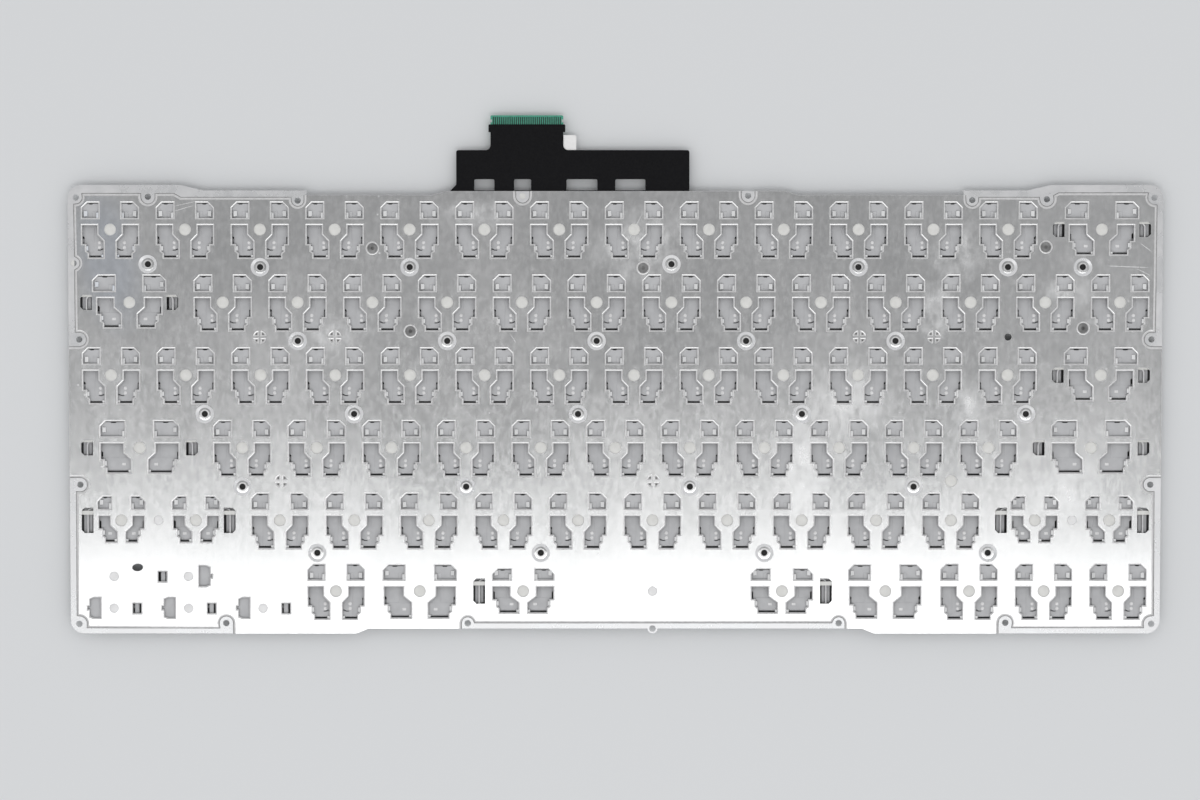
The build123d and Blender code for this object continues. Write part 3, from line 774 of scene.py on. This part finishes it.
def cap_model(width, depth):
    """One hollow cap about its own middle, with its top on the table."""
    bpy.ops.object.select_all(action="DESELECT")
    bpy.ops.mesh.primitive_cube_add(size=1, location=(0, 0, 0.65))
    cap = bpy.context.object
    cap.scale = (width, depth, 1.3)
    bpy.ops.object.transform_apply(location=True, rotation=True, scale=True)
    bpy.ops.object.mode_set(mode="EDIT")
    bpy.ops.mesh.select_mode(type="EDGE")
    bpy.ops.mesh.select_all(action="DESELECT")
    bpy.ops.object.mode_set(mode="OBJECT")
    for edge in cap.data.edges:
        ends = [cap.data.vertices[place].co for place in edge.vertices]
        edge.select = abs(ends[0].z - ends[1].z) > 1
    bpy.ops.object.mode_set(mode="EDIT")
    bpy.ops.mesh.bevel(offset=1.2, segments=4, affect="EDGES")
    bpy.ops.mesh.select_mode(type="FACE")
    bpy.ops.object.mode_set(mode="OBJECT")
    for face in cap.data.polygons:
        face.select = face.normal.z > 0.9
    bpy.ops.object.mode_set(mode="EDIT")
    bpy.ops.mesh.inset(thickness=0.6)
    bpy.ops.mesh.extrude_region_move(TRANSFORM_OT_translate={"value": (0, 0, -0.75)})
    bpy.ops.object.mode_set(mode="OBJECT")
    for face in cap.data.polygons:
        face.select = face.normal.z < -0.9
    bpy.ops.object.mode_set(mode="EDIT")
    bpy.ops.mesh.region_to_loop()
    bpy.ops.mesh.bevel(offset=0.22, segments=2, affect="EDGES")
    bpy.ops.object.mode_set(mode="OBJECT")
    bpy.ops.object.shade_smooth_by_angle(angle=radians(35))
    return cap


black_plastic, black_shader = finish_material("black_matte_plastic", (0.022, 0.022, 0.024), 0.55)
spark = noise(black_plastic, object_place(black_plastic, (9000, 9000, 9000)), 1.0, 2.0)
tint(black_plastic, black_shader, spark, (0.016, 0.016, 0.018), (0.028, 0.028, 0.03))
set_bump(black_plastic, black_shader, spark, 0.3, 0.00002)
cap_models = {width: cap_model(width * key_pitch - 3.0, 15.5) for width in seat_sizes}
arrow_model = cap_model(16.0, 7.35)
still_caps = {row_y[0]: [], row_y[1]: []}
caps = []
for name, x, y, width in keys:
    cap = copy_at(cap_models[width], (name or "still") + "_cap", x, y)
    if name:
        caps.append((cap, name + "_key", name + "_key"))
    else:
        still_caps[y].append(cap)
for name, x, y in arrow_keys:
    caps.append((copy_at(arrow_model, name + "_cap", x, y), name + "_key", name + "_key"))
for y, node in zip(row_y, ("function_row_keys", "number_row_keys")):
    caps.append((one_piece(node.replace("keys", "caps"), *still_caps[y]), node, "frame"))
for model in [*cap_models.values(), arrow_model]:
    bpy.data.objects.remove(model)
for cap, node, body in caps:
    to_metres(cap)
    dress(cap, black_plastic)
    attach(cap, body)
    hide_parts(node)

# Connector tail: printed film under a matte black cover, glued to the membrane's header. Four
# windows lie along the plate's edge, and the neck ends in a stepped head.
tail_low, tail_high = (corner[2] * 1000 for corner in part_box("connector_tail"))
tail = [(-41.9, 44.325), (18.8, 44.325), *bay(18.2, 56.575, 0.6, 0, 90), (-12.0, 57.175)]
tail += [*bay(-11.95, 58.425, 1.25, 270, 180), (-13.2, 61.675), (-12.7, 61.675)]
tail += [*bay(-13.0, 63.375, 0.3, 0, 90), *bay(-31.9, 63.375, 0.3, 90, 180)]
tail += [(-32.2, 61.675), (-31.7, 61.675), *bay(-32.95, 58.425, 1.25, 0, -90)]
tail += [*bay(-39.8, 56.575, 0.6, 90, 180), (-40.4, 48.4), (-41.9, 46.9)]
tail_windows = []
for left, right in ((-35.8, -30.7), (-25.7, -21.4), (-12.4, -4.6), (0.0, 7.6)):
    corners = bay(right - 0.4, 49.375, 0.4, 0, 90) + bay(left + 0.4, 49.375, 0.4, 90, 180)
    tail_windows.append([(left, 46.975), (right, 46.975)] + corners)
tail = flat_piece("tail", [tail] + tail_windows, tail_low, tail_high, 0.03)
to_metres(tail)
cover, cover_shader = finish_material("black_cover_film", (0.006, 0.006, 0.007), 0.6)
print_grain = noise(cover, object_place(cover, (2500, 2500, 2500)), 1.0, 3.0)
tint(cover, cover_shader, print_grain, (0.004, 0.004, 0.005), (0.008, 0.008, 0.009))
set_bump(cover, cover_shader, print_grain, 0.12, 0.00002)
cover_shader.inputs["Specular IOR Level"].default_value = 0.1
dress(tail, cover)
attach(tail, "frame")
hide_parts("connector_tail")

# Contact end: a stiff green strip under the film's tip, with a row of dark printed contact fingers.
# It is pushed into a socket on the laptop's board.
end_low, end_high = ([value * 1000 for value in corner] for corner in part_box("contact_end"))
notch = [(end_high[0], end_low[1]), (end_high[0], 64.2), (end_high[0] - 0.4, 64.2), (end_high[0] - 0.4, 64.9)]
notch += [(end_high[0], 64.9), (end_high[0], end_high[1] - 0.25), (end_high[0] - 0.25, end_high[1])]
middle_x = (end_low[0] + end_high[0]) / 2
strip_edge = notch + [(2 * middle_x - x, y) for x, y in reversed(notch)]
strip = flat_piece("strip", [strip_edge], end_low[2], end_high[2], 0.04)
strip_green, green_shader = finish_material("green_stiffener", (0.05, 0.30, 0.20), 0.4)
dye = noise(strip_green, object_place(strip_green, (1500, 1500, 1500)), 1.0, 3.0)
tint(strip_green, green_shader, dye, (0.04, 0.26, 0.17), (0.07, 0.36, 0.25))
finger_dark, finger_shader = finish_material("contact_fingers", (0.02, 0.05, 0.04), 0.3, 0.4)
carbon = noise(finger_dark, object_place(finger_dark, (3000, 900, 900)), 1.0, 2.0)
tint(finger_dark, finger_shader, carbon, (0.014, 0.035, 0.03), (0.03, 0.07, 0.055))
dress(strip, strip_green)
fingers = []
for place in range(33):
    x = end_low[0] + 0.75 + place * (end_high[0] - end_low[0] - 1.5) / 32
    finger = block("finger", (x - 0.15, 63.3, end_high[2] - 0.1), (x + 0.15, 65.55, end_high[2] + 0.02), 0.02)
    dress(finger, finger_dark)
    fingers.append(finger)
contacts = one_piece("contacts", strip, *fingers)
to_metres(contacts)
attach(contacts, "frame")
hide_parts("contact_end")

# Pull tab: a tab of white film, glued under the tail beside its neck. It is pulled to draw the
# contact end out of its socket.
tab_low, tab_high = ([value * 1000 for value in corner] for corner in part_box("pull_tab"))
tab_loop = [(tab_low[0], tab_low[1]), (tab_high[0], tab_low[1])]
tab_loop += [*bay(tab_high[0] - 0.5, tab_high[1] - 0.5, 0.5, 0, 90), (tab_low[0], tab_high[1])]
tab = flat_piece("tab", [tab_loop], tab_low[2], tab_high[2], 0.03)
to_metres(tab)
white_film, white_shader = finish_material("white_film", (0.86, 0.86, 0.85), 0.5)
fibre = noise(white_film, object_place(white_film, (1200, 1200, 1200)), 1.0, 3.0)
tint(white_film, white_shader, fibre, (0.82, 0.82, 0.81), (0.88, 0.88, 0.87))
dress(tab, white_film)
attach(tab, "frame")
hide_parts("pull_tab")

# Floor and light: a plain pale table top under a bright room that is dimmer straight above, with one
# softbox over the space bar's side.
bpy.ops.object.select_all(action="DESELECT")
bpy.ops.mesh.primitive_plane_add(size=6, location=(0, 0, 0))
floor = bpy.context.object
floor.name = "floor"
table = finish_material("pale_table", (0.735, 0.75, 0.76), 0.6)[0]
floor.data.materials.append(table)

world = bpy.data.worlds.new("studio")
bpy.context.scene.world = world
world.use_nodes = True
studio = world.node_tree
height = studio.nodes.new("ShaderNodeSeparateXYZ")
studio.links.new(studio.nodes.new("ShaderNodeTexCoord").outputs["Generated"], height.inputs[0])
sky = studio.nodes.new("ShaderNodeValToRGB")
studio.links.new(height.outputs["Z"], sky.inputs["Fac"])
sky_stops = ((0.0, 0.80), (0.3, 0.68), (0.55, 0.75), (0.83, 0.95), (0.95, 0.52), (1.0, 0.33))
while len(sky.color_ramp.elements) < len(sky_stops):
    sky.color_ramp.elements.new(0.5)
for element, (place, grey) in zip(sky.color_ramp.elements, sky_stops):
    element.position = place
    element.color = (grey, grey, grey * 1.01, 1)
studio.links.new(sky.outputs["Color"], studio.nodes["Background"].inputs["Color"])

bpy.ops.object.light_add(type="AREA", location=(0.0, -0.40, 1.35), rotation=(radians(16.5), 0, 0))
softbox = bpy.context.object
softbox.name = "softbox"
softbox.data.shape = "RECTANGLE"
softbox.data.size = 1.0
softbox.data.size_y = 0.44
softbox.data.energy = 3.0

# Camera: straight above, leaning a little towards the space bar side.
bpy.ops.object.camera_add(location=(-0.0039, 0.0295, 0.7995), rotation=(-0.0449, 0.0, 0.0))
camera = bpy.context.object
camera.data.lens = 94.0
camera.data.sensor_width = 36.0
bpy.context.scene.camera = camera
bpy.context.scene.view_settings.view_transform = "Standard"
